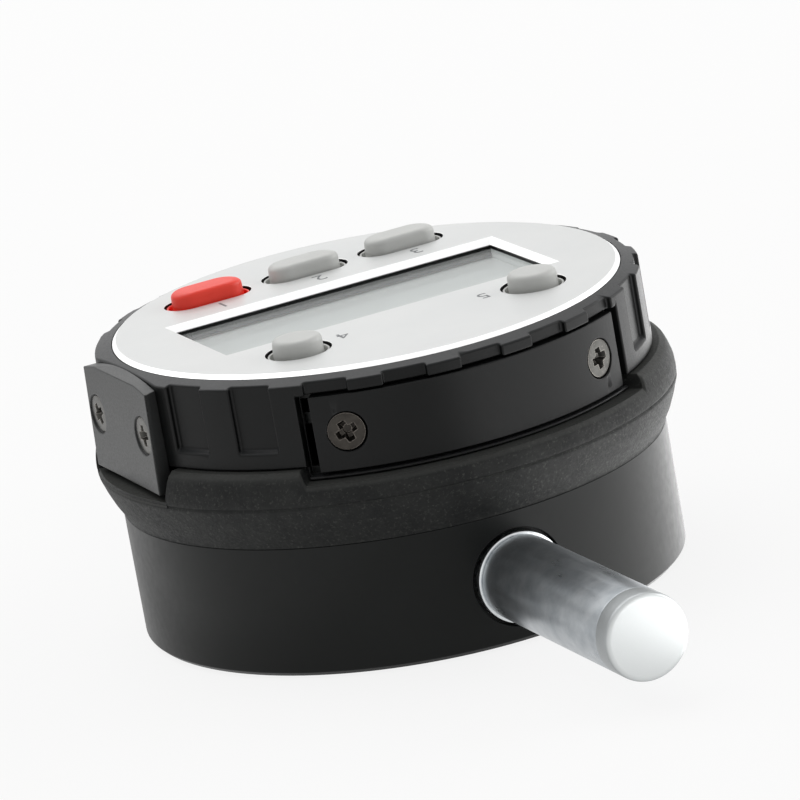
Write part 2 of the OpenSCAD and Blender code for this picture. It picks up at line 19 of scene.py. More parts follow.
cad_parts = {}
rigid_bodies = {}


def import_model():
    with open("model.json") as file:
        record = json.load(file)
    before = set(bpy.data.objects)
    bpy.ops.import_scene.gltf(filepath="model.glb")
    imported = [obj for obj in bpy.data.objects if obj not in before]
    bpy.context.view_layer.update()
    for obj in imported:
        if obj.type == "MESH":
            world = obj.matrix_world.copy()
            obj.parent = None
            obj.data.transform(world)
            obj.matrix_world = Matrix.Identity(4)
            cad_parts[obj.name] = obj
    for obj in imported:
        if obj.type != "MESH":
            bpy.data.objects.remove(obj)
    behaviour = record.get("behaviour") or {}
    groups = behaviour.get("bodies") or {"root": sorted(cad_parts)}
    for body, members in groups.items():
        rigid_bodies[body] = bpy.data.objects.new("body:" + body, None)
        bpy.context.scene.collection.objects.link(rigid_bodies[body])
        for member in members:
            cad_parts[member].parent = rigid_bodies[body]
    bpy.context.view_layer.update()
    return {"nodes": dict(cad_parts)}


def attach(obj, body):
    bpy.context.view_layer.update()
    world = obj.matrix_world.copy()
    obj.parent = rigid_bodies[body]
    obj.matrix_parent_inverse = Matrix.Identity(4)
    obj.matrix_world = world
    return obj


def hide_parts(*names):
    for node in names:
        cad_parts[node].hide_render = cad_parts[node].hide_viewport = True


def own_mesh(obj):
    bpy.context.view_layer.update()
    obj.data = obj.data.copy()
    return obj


Array = np.ndarray
Corners = list[tuple[float, float]]
Point = tuple[float, float, float]

LOG = logging.getLogger("dial_indicator")
MM = 0.001
# Height of the spindle's axis over the back.
SPINDLE_Z = 6.97

# Detail and roughness of the three noises.
FINE_NOISE = (4.0, 0.6)
BROAD_NOISE = (5.0, 0.62)
DUST_NOISE = (6.0, 0.75)
# Where a noise, or the surface's direction, starts to count and where it counts in full.
TONE_SPAN = (0.35, 0.68)
SPECK_SPAN = 0.12
ROUGH_SPAN = (0.3, 0.7)
PAINTED_LIGHT_SPAN = (0.35, 0.95)
WORN_SPAN = (0.99, 0.86)
CUT_SPAN = (0.975, 0.93)
WALL_SHADE_SPAN = (0.4, 0.25)
# How much of an angle and of a drawn length the marks keep.
ANGLE_SHARE = 0.0006
DRAWN_SHARE = 0.12
# Metallic of a freshly cut edge, and the share that specks leave of it elsewhere.
CUT_METALLIC = 0.9
SPECK_METALLIC = 0.3
ACRYLIC_IOR = 1.49


def linear(code: str) -> tuple[float, float, float, float]:
    """Turns an sRGB hex colour to the linear values that shaders use.

    Args:
        code: The colour as six hex digits after a hash.

    Returns:
        Red, green, blue and an alpha of 1.
    """
    parts = np.array([int(code[i:i + 2], 16) for i in (1, 3, 5)]) / 255
    light = np.where(parts <= 0.04045, parts / 12.92, ((parts + 0.055) / 1.055) ** 2.4)
    return (*light.tolist(), 1.0)


@dataclass
class Shading:
    """The node tree of one material or of the world."""

    tree: Any

    @classmethod
    def fresh(cls, owner: Any) -> "Shading":
        """Starts on the emptied nodes of a material or a world.

        Args:
            owner: The material or the world.

        Returns:
            Its shading.
        """
        owner.use_nodes = True
        owner.node_tree.nodes.clear()
        return cls(owner.node_tree)

    def add(self, kind: str, inputs: dict[Any, Any] | None = None, **settings: Any) -> Any:
        """Adds a node with its settings, values and links.

        Args:
            kind: The node's type name after ShaderNode.
            inputs: A value or an output socket for each input, by name or index.
            **settings: Properties of the node itself.

        Returns:
            The new node.
        """
        node = self.tree.nodes.new(f"ShaderNode{kind}")
        for key, value in settings.items():
            setattr(node, key, value)
        for key, value in (inputs or {}).items():
            if isinstance(value, bpy.types.NodeSocket):
                self.tree.links.new(value, node.inputs[key])
            else:
                node.inputs[key].default_value = value
        return node

    def maths(self, operation: str, *values: Any) -> Any:
        """Works out one step from numbers and sockets."""
        return self.add("Math", dict(enumerate(values)), operation=operation).outputs[0]

    def mapped(self, value: Any, span: tuple[float, float], low: float = 0.0,
               high: float = 1.0) -> Any:
        """Maps a span of a value to low up to high, and holds it there.

        Args:
            value: The output socket that is read.
            span: Where the value starts to count, and where it counts in full.
            low: What the start gives.
            high: What the full value gives.

        Returns:
            The output socket of the result.
        """
        return self.add("MapRange", {
            "Value": value, "From Min": span[0], "From Max": span[1],
            "To Min": low, "To Max": high}).outputs[0]

    def mixed(self, share: Any, first: Any, second: str) -> Any:
        """Mixes a colour with a second one, which is given in hex."""
        inputs = {0: share, 6: first, 7: linear(second)}
        return self.add("Mix", inputs, data_type="RGBA").outputs[2]

    def noise(self, place: Any, size: float, kind: tuple[float, float]) -> Any:
        """Noise whose lumps have a size in millimetres."""
        return self.add("TexNoise", {"Vector": place, "Scale": 1 / (size * MM),
                                     "Detail": kind[0], "Roughness": kind[1]}).outputs[0]

    def lean(self, axis: int) -> Any:
        """How far the surface faces along one of the object's axes, from -1 to 1."""
        normal = self.add("TexCoord").outputs["Normal"]
        return self.add("SeparateXYZ", {0: normal}).outputs[axis]


class Lay(Enum):
    """Which way the marks of a surface run."""

    MOULDED = "no way"
    SPINDLE = "round the spindle"
    DIAL = "round the dial"
    DRAWN = "along the spindle"


@dataclass(frozen=True)
class Finish:
    """One finish, with its colours in sRGB and its lengths in millimetres."""

    name: str
    colour: str
    tone: str
    lay: Lay = Lay.MOULDED
    blotch: float = 8.0
    toned: float = 0.5
    grain: float = 0.4
    relief: float = 0.01
    rough: float = 0.5
    rough_spread: float = 0.06
    metallic: float = 0.0
    gloss: float = 0.5
    edge: str = ""
    edge_width: float = 0.15
    speck: str = ""
    speck_size: float = 0.5
    speck_from: float = 0.62
    clear: bool = False
    cut: str = ""
    # Painted shade: a dark colour on upright walls, such as those of the holes in a sheet.
    painted_wall_shade: str = ""
    # Painted light: a lighter colour on faces turned along one axis, the object's z unless set.
    painted_light: str = ""
    painted_light_axis: int = 2

    def marks(self, nodes: Shading, place: Any) -> Any:
        """Gives the coordinates in which the marks are even.

        Round marks use (radius, height, a little of the angle), so the noise
        is stretched along the angle. Straight marks shrink their own axis.

        Args:
            nodes: The material's nodes.
            place: The Object coordinates.

        Returns:
            The output socket of the coordinates.
        """
        if self.lay is Lay.MOULDED:
            return place
        if self.lay is Lay.DRAWN:
            drawn = {"Vector": place, "Scale": (1, DRAWN_SHARE, 1)}
            return nodes.add("Mapping", drawn).outputs[0]
        middle = (0, 0, -SPINDLE_Z * MM) if self.lay is Lay.SPINDLE else (0, 0, 0)
        centred = nodes.add("Mapping", {"Vector": place, "Location": middle}).outputs[0]
        x, y, z = nodes.add("SeparateXYZ", {0: centred}).outputs
        across, height = (z, y) if self.lay is Lay.SPINDLE else (y, z)
        flat = nodes.add("CombineXYZ", {0: x, 1: across}).outputs[0]
        radius = nodes.add("VectorMath", {0: flat}, operation="LENGTH").outputs["Value"]
        little = nodes.maths("MULTIPLY", nodes.maths("ARCTAN2", across, x), ANGLE_SHARE)
        return nodes.add("CombineXYZ", {0: radius, 1: height, 2: little}).outputs[0]

    def worn(self, nodes: Shading, broad: Any) -> Any:
        """Share that is rubbed bare: the edges, as far as the broad noise leaves them.

        Args:
            nodes: The material's nodes.
            broad: The output socket of the broad noise.

        Returns:
            The output socket of the share.
        """
        soft = nodes.add("Bevel", {"Radius": self.edge_width * MM}, samples=4).outputs[0]
        true = nodes.add("NewGeometry").outputs["Normal"]
        turn = nodes.add("VectorMath", {0: soft, 1: true}, operation="DOT_PRODUCT")
        return nodes.maths("MULTIPLY", nodes.mapped(turn.outputs["Value"], WORN_SPAN), broad)

    def faced(self, nodes: Shading, colour: Any) -> tuple[Any, Any]:
        """Tells bright cut edges and upright walls from the flat of a sheet, and gives the walls a
        painted shade.

        Both come from the surface's own direction: a cut edge slopes, so the
        z of its normal lies between the wall's 0 and the flat's 1.

        Args:
            nodes: The material's nodes.
            colour: The output socket of the flat's colour.

        Returns:
            The output sockets of the colour and of the metallic value.
        """
        lean = nodes.lean(2)
        slope = nodes.mapped(lean, CUT_SPAN)
        # Upright walls are darkened: painted shade.
        wall_shade = nodes.mapped(nodes.maths("ABSOLUTE", lean), WALL_SHADE_SPAN)
        colour = nodes.mixed(wall_shade, nodes.mixed(slope, colour, self.cut), self.painted_wall_shade)
        return colour, nodes.mapped(slope, (0, 1), self.metallic, CUT_METALLIC)

    def build(self) -> bpy.types.Material:
        """Makes the material: toned colour, specks, painted light, worn edges, roughness and
        relief.

        Returns:
            The new material.
        """
        material = bpy.data.materials.new(self.name)
        nodes = Shading.fresh(material)
        place = nodes.add("TexCoord").outputs["Object"]
        fine = nodes.noise(self.marks(nodes, place), self.grain, FINE_NOISE)
        broad = nodes.noise(place, self.blotch, BROAD_NOISE)
        toned = nodes.mapped(broad, TONE_SPAN, 0.0, self.toned)
        colour = nodes.mixed(toned, linear(self.colour), self.tone)
        metallic: Any = self.metallic
        if self.speck:
            dust = nodes.noise(place, self.speck_size, DUST_NOISE)
            much = nodes.mapped(dust, (self.speck_from, self.speck_from + SPECK_SPAN))
            colour = nodes.mixed(much, colour, self.speck)
            if self.metallic:
                dull = SPECK_METALLIC * self.metallic
                metallic = nodes.mapped(much, (0, 1), self.metallic, dull)
        # Painted light: faces turned along the axis are mixed towards the lighter colour.
        if self.painted_light:
            lit_share = nodes.mapped(nodes.lean(self.painted_light_axis), PAINTED_LIGHT_SPAN)
            colour = nodes.mixed(lit_share, colour, self.painted_light)
        if self.edge:
            colour = nodes.mixed(self.worn(nodes, broad), colour, self.edge)
        if self.cut:
            colour, metallic = self.faced(nodes, colour)
        rough = nodes.mapped(fine, ROUGH_SPAN, max(0.02, self.rough - self.rough_spread),
                             min(1.0, self.rough + self.rough_spread))
        relief = nodes.add("Bump", {"Height": fine, "Distance": self.relief * MM, "Strength": 1.0})
        shader = nodes.add("BsdfPrincipled", {
            "Base Color": colour, "Roughness": rough, "Normal": relief.outputs[0],
            "Metallic": metallic, "Specular IOR Level": self.gloss,
            "Alpha": nodes.add("Fresnel", {"IOR": ACRYLIC_IOR}).outputs[0] if self.clear else 1.0})
        nodes.add("OutputMaterial", {"Surface": shader.outputs[0]})
        return material


# The finishes, each named for the real material and how its surface was made.
FINISHES: dict[str, Finish] = {finish.name: finish for finish in (
    # Sprayed satin lacquer: an even black with a faint orange peel.
    Finish("satin_lacquer_on_zinc", "#0b0d0c", "#111312", blotch=11, toned=0.8, grain=0.9,
           relief=0.0025, rough=0.37, rough_spread=0.03, gloss=0.17, edge="#343535",
           speck="#1e201f", speck_size=1.4, speck_from=0.66),
    # Glass-filled nylon from an etched mould: a fine spark grain, and a painted highlight where it
    # faces up.
    Finish("etched_nylon_moulding", "#0b0c0c", "#121313", blotch=9, grain=0.22, relief=0.01,
           rough=0.38, gloss=0.16, edge="#4b4c4c", speck="#222323", speck_size=0.7,
           speck_from=0.68, painted_light="#303132"),
    # The data cover is the same nylon, rubbed to a sheen, with painted light making it paler where
    # it faces up.
    Finish("rubbed_nylon_moulding", "#242525", "#2e2f2f", blotch=7, grain=0.22, relief=0.006,
           rough=0.42, gloss=0.32, edge="#1b1c1c", painted_light="#3a3b3b"),
    # The battery cover is a smoother grade of it, a deep black with soft reflections.
    Finish("fine_nylon_moulding", "#090a0a", "#101111", blotch=7, grain=0.3, relief=0.005,
           rough=0.36, gloss=0.16, edge="#4c4d4d", speck="#202121", speck_size=0.9,
           speck_from=0.68),
    # Compression moulded nitrile, dull and always a little dusty, with a painted highlight where
    # it faces up.
    Finish("dusty_nitrile_painted_top_light", "#121313", "#222322", blotch=3.2, toned=0.9, grain=0.3,
           relief=0.03, rough=0.6, rough_spread=0.1, gloss=0.19, speck="#3c3d3a",
           speck_size=0.36, speck_from=0.55, painted_light="#3f403e"),
    # Aluminium sheet blasted and clear anodised, with diamond-cut edges, punched holes and painted
    # shade on its upright walls.
    Finish("anodised_aluminium_sheet", "#d7d8d7", "#ced0d0", blotch=16, grain=0.12,
           relief=0.0015, rough=0.4, rough_spread=0.03, metallic=0.3, cut="#fdfdfd",
           painted_wall_shade="#2a2a2a"),
    # Drawn aluminium tube with a satin anodised skin, streaked along and speckled by handling.
    Finish("satin_anodised_tube", "#b4b8bb", "#92989d", Lay.DRAWN, blotch=2.4, toned=0.8,
           grain=2.2, relief=0.001, rough=0.32, rough_spread=0.07, metallic=0.9,
           speck="#9da2a6", speck_size=0.26, speck_from=0.6),
    # A turned plug, blasted before anodising, with a painted highlight that makes its end face
    # almost white.
    Finish("blasted_aluminium", "#a3a6a7", "#999d9e", blotch=2.2, grain=0.14, relief=0.003,
           rough=0.42, metallic=0.8, speck="#a9aeb1", speck_size=0.8, speck_from=0.66,
           painted_light="#d0d3d3", painted_light_axis=1),
    # Aluminium faced on a lathe and left bare: a bright ring with fine rounds and dull specks.
    Finish("faced_aluminium", "#dcdfe0", "#bfc3c6", Lay.SPINDLE, blotch=1.2, toned=0.8,
           grain=0.1, relief=0.002, rough=0.3, metallic=1.0, speck="#8d9194", speck_size=0.22,
           speck_from=0.68),
    # Turned inner parts: satin grey, with brighter corners.
    Finish("machined_aluminium", "#c2c4c6", "#b0b2b4", Lay.DIAL, grain=0.15, relief=0.003,
           rough=0.35, metallic=1.0, edge="#e8e9ea"),
    # Centreless ground and lapped steel: bright, with faint rings.
    Finish("ground_steel", "#c8cacc", "#b4b6b9", Lay.SPINDLE, blotch=5, grain=0.08,
           relief=0.0008, rough=0.18, metallic=1.0),
    # Lapped carbide: a shade darker than the steel, and a clean mirror.
    Finish("polished_carbide", "#b7b9bb", "#a6a8aa", blotch=2, grain=0.2, relief=0.0004,
           rough=0.1, rough_spread=0.02, metallic=1.0),
    # Clear zinc plating: a cloudy pale grey, rubbed bright on its rims.
    Finish("zinc_plated_steel", "#a9abad", "#8e9092", blotch=1.5, grain=0.12, relief=0.003,
           rough=0.34, metallic=1.0, edge="#d6d7d8", edge_width=0.08),
    # Blackened screws: brown-black oxide that rubs off on the rims.
    Finish("black_oxide_steel", "#3a3733", "#292623", blotch=0.9, toned=0.8, grain=0.12,
           relief=0.003, rough=0.36, metallic=0.75, gloss=0.3, edge="#b3aaa2",
           edge_width=0.12, speck="#756a62", speck_size=0.3),
    # The same screws once the oxide has worn to grey.
    Finish("worn_oxide_steel", "#53524f", "#403f3c", blotch=0.9, toned=0.8, grain=0.12,
           relief=0.003, rough=0.36, metallic=0.75, gloss=0.3, edge="#c9c3bb",
           edge_width=0.12, speck="#9b958e", speck_size=0.3, speck_from=0.6),
    # Drawn and oiled wire: darker than ground steel, with a soft gleam.
    Finish("spring_steel_wire", "#8f9194", "#7b7d80", grain=0.1, relief=0.001, rough=0.3,
           metallic=1.0),
    # Turned brass: a warm ring in the end of the stem.
    Finish("bearing_brass", "#c2a15a", "#a98a48", Lay.SPINDLE, grain=0.1, relief=0.001,
           rough=0.28, metallic=1.0),
    # The cell's can: an even nickel shine with fine rounds.
    Finish("nickel_plated_cell", "#c9cbcc", "#b5b7b8", Lay.DIAL, grain=0.1, relief=0.001,
           rough=0.25, metallic=1.0),
    # Solder mask over copper, with the glass weave just showing.
    Finish("solder_mask_laminate", "#1f6a42", "#195a38", blotch=6, grain=0.5, relief=0.006,
           rough=0.32, edge="#8b8a55"),
    # The main board's mask is black, so nothing green shines round the display.
    Finish("black_mask_laminate", "#0f1312", "#141917", blotch=6, grain=0.5, relief=0.006,
           rough=0.32),
    # Undyed acetal: cream, and a little waxy.
    Finish("natural_acetal", "#d8ccac", "#cbbf9e", grain=0.3, relief=0.004, rough=0.45),
    # The display's frame: white, and dull from its mould.
    Finish("white_abs_moulding", "#e3e3df", "#d8d8d3", grain=0.3, relief=0.004, rough=0.42),
    # Small inner mouldings: charcoal, with a plain mould grain.
    Finish("dark_abs_moulding", "#2a2a2b", "#333334", grain=0.25, relief=0.006, rough=0.45),
    # Reflective rear of a display that is off, behind its polariser.
    Finish("display_polariser", "#f9fafa", "#f4f6f6", blotch=20, grain=0.5, relief=0.0004,
           rough=0.3, rough_spread=0.02, metallic=0.6, gloss=0.4),
    # The pane: nothing of it shows but its reflection, stronger at a flat angle.
    Finish("clear_acrylic_window", "#f3f6f5", "#eef2f1", grain=6.0, relief=0.00001, rough=0.05,
           rough_spread=0.01, clear=True),
    # Silicone rubber keys, matt with a soft greasy sheen.
    Finish("grey_silicone", "#cecfcc", "#c4c5c2", blotch=4, grain=0.25, relief=0.003,
           rough=0.42, gloss=0.45),
    # The red one is dyed in the mass, so its sides stay deep red.
    Finish("red_silicone", "#fe4534", "#f63f2e", blotch=4, grain=0.25, relief=0.003,
           rough=0.42, gloss=0.38),
    # Screen printed ink on the face: flat grey, without a shine.
    Finish("printed_grey_ink", "#6d7072", "#777a7c", grain=0.2, relief=0.002, rough=0.55),
)}


def circle(count: int) -> Array:
    """Even angles once round, in radians."""
    return np.linspace(0, 2 * np.pi, count, endpoint=False)


def linked(name: str, data: Any) -> bpy.types.Object:
    """Makes an object of a mesh, curve, lamp or camera and links it to the scene.

    Args:
        name: The object's name.
        data: What it holds.

    Returns:
        The new object, which sits at the origin.
    """
    thing = bpy.data.objects.new(name, data)
    bpy.context.scene.collection.objects.link(thing)
    return thing


def smoothed(name: str, mesh: bpy.types.Mesh, sharp: float = 32.0) -> bpy.types.Object:
    """Merges doubles, turns the normals outwards and sets smooth shading.

    Args:
        name: The object's name.
        mesh: The mesh, in metres.
        sharp: Edges that turn by more than this many degrees stay sharp.

    Returns:
        The linked object.
    """
    work = bmesh.new()
    work.from_mesh(mesh)
    bmesh.ops.remove_doubles(work, verts=work.verts, dist=2e-7)
    bmesh.ops.dissolve_degenerate(work, edges=work.edges, dist=1e-7)
    bmesh.ops.recalc_face_normals(work, faces=work.faces)
    work.to_mesh(mesh)
    work.free()
    mesh.polygons.foreach_set("use_smooth", [True] * len(mesh.polygons))
    mesh.set_sharp_from_angle(angle=math.radians(sharp))
    return linked(name, mesh)


def grid_mesh(name: str, points: Array, loop_u: bool, loop_v: bool) -> bpy.types.Object:
    """Joins a grid of points to a mesh of four-sided faces.

    Point (u, v) is joined to its neighbours (u + 1, v) and (u, v + 1), and a
    looped direction runs on from its last row to its first. Points that fall
    together, as at a pole, become one, and the normals are turned outwards.

    Args:
        name: The piece's name.
        points: Millimetres, of shape (rows, columns, 3).
        loop_u: Whether the rows close on themselves.
        loop_v: Whether the columns close on themselves.

    Returns:
        The new object, which sits at the origin.
    """
    rows, columns = points.shape[:2]
    u, v = np.meshgrid(np.arange(rows - (not loop_u)), np.arange(columns - (not loop_v)),
                       indexing="ij")
    u, v = u.ravel(), v.ravel()
    after_u, after_v = (u + 1) % rows, (v + 1) % columns
    faces = np.stack([u * columns + v, after_u * columns + v,
                      after_u * columns + after_v, u * columns + after_v], axis=1)
    mesh = bpy.data.meshes.new(name)
    mesh.from_pydata((points.reshape(-1, 3) * MM).tolist(), [], faces.tolist())
    return smoothed(name, mesh)


def joined(name: str, things: list[bpy.types.Object]) -> bpy.types.Object:
    """Joins pieces that sit at the origin to one, without merging their points.

    Args:
        name: The new piece's name.
        things: The pieces, which are deleted.

    Returns:
        The whole piece.
    """
    work = bmesh.new()
    for thing in things:
        old = thing.data
        work.from_mesh(old)
        bpy.data.objects.remove(thing)
        bpy.data.meshes.remove(old)
    mesh = bpy.data.meshes.new(name)
    work.to_mesh(mesh)
    work.free()
    return linked(name, mesh)


def rounded(corners: Corners, radius: float | list[float], steps: int = 5,
            loop: bool = False) -> Array:
    """Rounds the corners of a profile.

    Each corner p gives way to the curve (1-t)^2 a + 2t(1-t) p + t^2 b, where a
    and b lie on its two sides at the radius, or at half of a shorter side.

    Args:
        corners: The profile's corner points.
        radius: One radius for all corners, or one for each.
        steps: Points on each rounded corner.
        loop: Whether the last corner is joined to the first.

    Returns:
        The points of the rounded profile, of shape (count, 2).
    """
    p = np.asarray(corners, float)
    size = np.broadcast_to(np.asarray(radius, float), len(p)).copy()
    if not loop:
        size[[0, -1]] = 0
    back, ahead = np.roll(p, 1, 0) - p, np.roll(p, -1, 0) - p
    back_len, ahead_len = np.linalg.norm(back, axis=1), np.linalg.norm(ahead, axis=1)
    cut = np.minimum(size, 0.49 * np.minimum(back_len, ahead_len))
    a = p + back * (cut / np.maximum(back_len, 1e-9))[:, None]
    b = p + ahead * (cut / np.maximum(ahead_len, 1e-9))[:, None]
    t = np.linspace(0, 1, steps)[None, :, None]
    curve = (1 - t) ** 2 * a[:, None] + 2 * t * (1 - t) * p[:, None] + t ** 2 * b[:, None]
    flat = curve.reshape(-1, 2)
    keep = np.r_[True, np.linalg.norm(np.diff(flat, axis=0), axis=1) > 1e-6]
    return flat[keep]


def turned(name: str, profile: Array, loop: bool, segments: int) -> bpy.types.Object:
    """Turns a profile of (radius, y) once round the spindle's axis.

    Point (u, v) is (r_u cos v, y_u, r_u sin v) from that axis.

    Args:
        name: The piece's name.
        profile: The rounded profile.
        loop: Whether the profile is a closed ring.
        segments: Columns round the axis.

    Returns:
        The turned piece.
    """
    angle = circle(segments)
    radius, along = profile[:, :1], profile[:, 1:]
    across = radius * np.cos(angle)
    axes = [across, np.broadcast_to(along, across.shape), radius * np.sin(angle) + SPINDLE_Z]
    return grid_mesh(name, np.stack(axes, axis=-1), loop, True)


@dataclass
class Dresser:
    """Gives pieces and carried-over solids their finish and their body."""

    nodes: dict[str, bpy.types.Object]
    made: dict[str, bpy.types.Material] = field(default_factory=dict)
    # Edges that turn by more degrees than this are softened.
    soft_from: float = 28.0
    # Share of the width that edges get inside grip_r.
    inner_share: float = 0.2

    def paint(self, thing: bpy.types.Object, finish: str) -> None:
        """Puts one finish on every slot of an object.

        Args:
            thing: The object.
            finish: The name of its finish.
        """
        if finish not in self.made:
            self.made[finish] = FINISHES[finish].build()
        if not thing.material_slots:
            thing.data.materials.append(None)
        for slot in thing.material_slots:
            slot.material = self.made[finish]

    def place(self, thing: bpy.types.Object, body: str, slot: str, finish: str,
              *replaced: str) -> bpy.types.Object:
        """Finishes a new piece and sets it on its body.

        Args:
            thing: The new piece.
            body: The body that it rides on.
            slot: The record's material slot; not used.
            finish: The name of its finish.
            *replaced: The solids that it stands for.

        Returns:
            The same piece.
        """
        self.paint(thing, finish)
        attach(thing, body)
        if replaced:
            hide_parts(*replaced)
        LOG.info("%s: %d faces, on %s, %s", thing.name, len(thing.data.polygons), body, finish)
        return thing

    def refined(self, node: str, name: str, body: str, slot: str, finish: str, edge: float,
                steps: int = 2, grip_r: float = 0.0) -> bpy.types.Object:
        """Stands a merged copy of a solid with softened edges in its place.

        Without grip_r, the width is cut to what the shortest edge allows. Where grip_r
        is given, edges beyond that radius get all of it, and the others a fifth.

        Args:
            node: The solid.
            name: The new piece's name.
            body: The body that it rides on.
            slot: The record's material slot.
            finish: The name of its finish.
            edge: The width of the softened edges.
            steps: Faces across each softened edge.
            grip_r: The radius from which edges get the whole width, or 0.

        Returns:
            The new piece.
        """
        source = self.nodes[node].data
        points = np.zeros(len(source.vertices) * 3, np.float32)
        source.vertices.foreach_get("co", points)
        corners = np.zeros(len(source.polygons) * 3, np.int32)
        source.polygons.foreach_get("vertices", corners)
        mesh = bpy.data.meshes.new(name)
        mesh.from_pydata(points.reshape(-1, 3).tolist(), [], corners.reshape(-1, 3).tolist())
        work = bmesh.new()
        work.from_mesh(mesh)
        bmesh.ops.remove_doubles(work, verts=work.verts, dist=2e-6)
        bmesh.ops.dissolve_limit(work, angle_limit=math.radians(0.2), verts=work.verts,
                                 edges=work.edges)
        share = work.edges.layers.float.new("bevel_weight_edge")
        for side in work.edges:
            if side.is_manifold and side.calc_face_angle() > math.radians(self.soft_from):
                inmost = min(end.co.to_2d().length for end in side.verts)
                side[share] = 1.0 if inmost > grip_r * MM else self.inner_share
        work.to_mesh(mesh)
        work.free()
        mesh.polygons.foreach_set("use_smooth", [True] * len(mesh.polygons))
        thing = linked(name, mesh)
        soften = thing.modifiers.new("softened_edges", "BEVEL")
        soften.width, soften.segments = edge * MM, steps
        soften.limit_method = "WEIGHT"
        soften.harden_normals = True
        soften.miter_outer = "MITER_ARC"
        soften.use_clamp_overlap = not grip_r
        return self.place(thing, body, slot, finish, node)

    def lathed(self, name: str, node: str, look: tuple[str, str, str], corners: Corners,
               radius: float | list[float], steps: int = 5, segments: int = 160) -> None:
        """Turns a rounded profile about the spindle's axis in place of a solid.

        A profile that starts on the axis stays open, and any other is a closed ring.

        Args:
            name: The new piece's name.
            node: The solid that it stands for.
            look: Its body, its material slot and its finish.
            corners: The profile's corners as (radius, y).
            radius: One radius for all corners, or one for each.
            steps: Points on each rounded corner.
            segments: Columns round the axis.
        """
        loop = corners[0][0] > 0
        profile = rounded(corners, radius, steps, loop)
        self.place(turned(name, profile, loop, segments), *look, node)


@dataclass
class CrossScrews:
    """Countersunk screws with a cross recess, seen as one piece."""

    head: float = 2.0
    shank: float = 1.0
    length: float = 4.0
    arm: float = 1.16
    half_width: float = 0.4
    depth: float = 1.25
    dome: float = 0.05
    middle: float = 0.66
    end_slope: float = 0.28
    side_slope: float = 0.12
    middle_slope: float = 0.2
    columns: int = 96
    rows: int = 38

    def arm_depth(self, along: Array, across: Array) -> Array:
        """Depth of one arm of the cross.

        The arm is as deep as its sloped end and its sloped sides allow, and gets
        shallower by half and narrower by 0.3 of its width towards its end.

        Args:
            along: Distance from the middle along the arm.
            across: Distance from the arm's middle line.

        Returns:
            The depth at each point.
        """
        end = np.clip((self.arm - np.abs(along)) / self.end_slope, 0, 1)
        width = self.half_width * (1.1 - 0.3 * np.abs(along) / self.arm)
        side = np.clip((width - np.abs(across)) / self.side_slope + 0.5, 0, 1)
        return self.depth * (1 - 0.5 * np.abs(along) / self.arm) * np.minimum(end, side)

    def recess(self, x: Array, y: Array) -> Array:
        """Depth of the recess: the deepest of both arms and of a cone in the middle."""
        cone = self.depth * np.clip((self.middle - np.hypot(x, y)) / self.middle_slope, 0, 1)
        return np.maximum(np.maximum(self.arm_depth(x, y), self.arm_depth(y, x)), cone)

    def points(self, turn: float) -> Array:
        """Surface of one screw, from the middle of its head to the end of its shank.

        Over the head, point (u, v) is (u cos v, u sin v, dome (1 - u^2) - recess).
        Past its rim, the profile runs down the cone and the shank.

        Args:
            turn: How far the cross is turned, in degrees.

        Returns:
            Points of shape (rows, columns, 3) with the head's rim at z = 0.
        """
        angle = circle(self.columns)
        inner = np.linspace(0, self.head - 0.12, self.rows)[:, None]
        x, y = inner * np.cos(angle), inner * np.sin(angle)
        top = self.dome * (1 - (inner / self.head) ** 2) - self.recess(x, y)
        cone = self.head - self.shank
        sides = rounded([(self.head - 0.1, 0), (self.head, -0.02), (self.shank, -cone),
                         (self.shank, 0.1 - self.length), (self.shank - 0.2, -self.length),
                         (0, -self.length)], [0, 0.08, 0.1, 0.05, 0.05, 0], 4)
        radius = sides[:, :1]
        lower = np.stack([radius * np.cos(angle), radius * np.sin(angle),
                          np.broadcast_to(sides[:, 1:], (len(sides), self.columns))], axis=-1)
        grid = np.concatenate([np.stack([x, y, top], axis=-1), lower])
        c, s = math.cos(math.radians(turn)), math.sin(math.radians(turn))
        return grid @ np.array([[c, s, 0], [-s, c, 0], [0, 0, 1]])

    def group(self, name: str, places: list[tuple[Matrix, float]]) -> bpy.types.Object:
        """Sets screws at their places and joins them.

        Args:
            name: The piece's name.
            places: For each screw, where its head's middle goes and its turn.

        Returns:
            One object that holds all screws.
        """
        things = []
        for number, (place, turn) in enumerate(places):
            grid = self.points(turn) @ np.array(place.to_3x3()).T + np.array(place.translation)
            things.append(grid_mesh(f"{name}_{number}", grid, False, True))
        return joined(name, things)


@dataclass
class Assembly:
    """A sub-assembly of the object, with the dresser of its pieces."""

    dresser: Dresser


